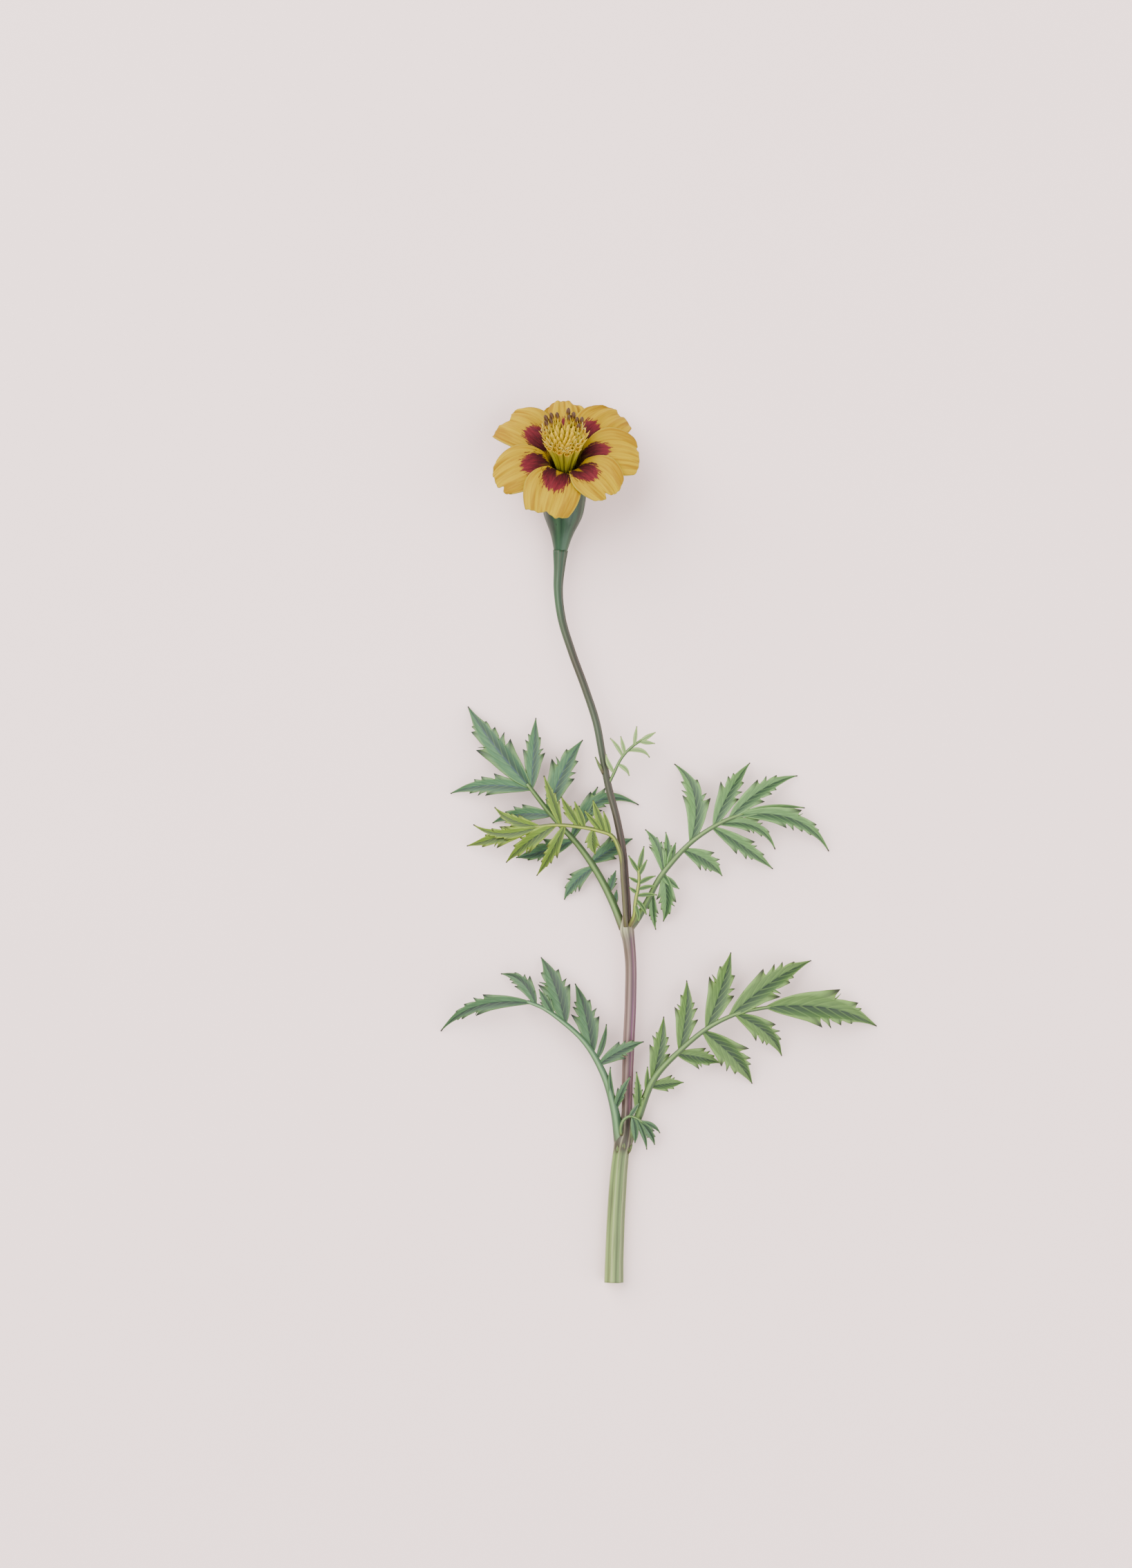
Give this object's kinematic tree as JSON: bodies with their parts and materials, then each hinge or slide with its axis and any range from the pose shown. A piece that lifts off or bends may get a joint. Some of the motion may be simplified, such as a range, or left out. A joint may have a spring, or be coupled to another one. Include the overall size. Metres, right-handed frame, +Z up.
{
  "type": "french marigold flower stem",
  "caption": "Cut flower stem with toothed feather leaves and one open single bloom, lying face up on a flat surface.",
  "frame": {"origin": "on the small flat under the lower stem, 12 mm above the cut end, on the surface that the stem lies on", "axes": "+Y along the stem towards the flower, +Z up from the surface, +X to the right as seen from above with the flower at the top"},
  "size_m": [0.1335, 0.2682, 0.0295],
  "materials": {
    "stem": "satin",
    "leaf_blue_green": "matte",
    "leaf_mid_green": "matte",
    "leaf_yellow_green": "matte",
    "involucre": "satin",
    "petals": "matte",
    "disc": "matte"
  },
  "bodies": {
    "root": {"stem": "stem", "leaf_lower_left": "leaf_blue_green", "leaf_lower_right": "leaf_mid_green", "leaf_lower_young": "leaf_yellow_green", "leaf_upper_left": "leaf_blue_green", "leaf_upper_front": "leaf_yellow_green", "leaf_upper_right": "leaf_mid_green", "axil_shoot": "leaf_mid_green", "peduncle_bract": "leaf_mid_green", "involucre": "involucre", "ray_florets": "petals", "disc_florets": "disc"}
  },
  "joints": []
}
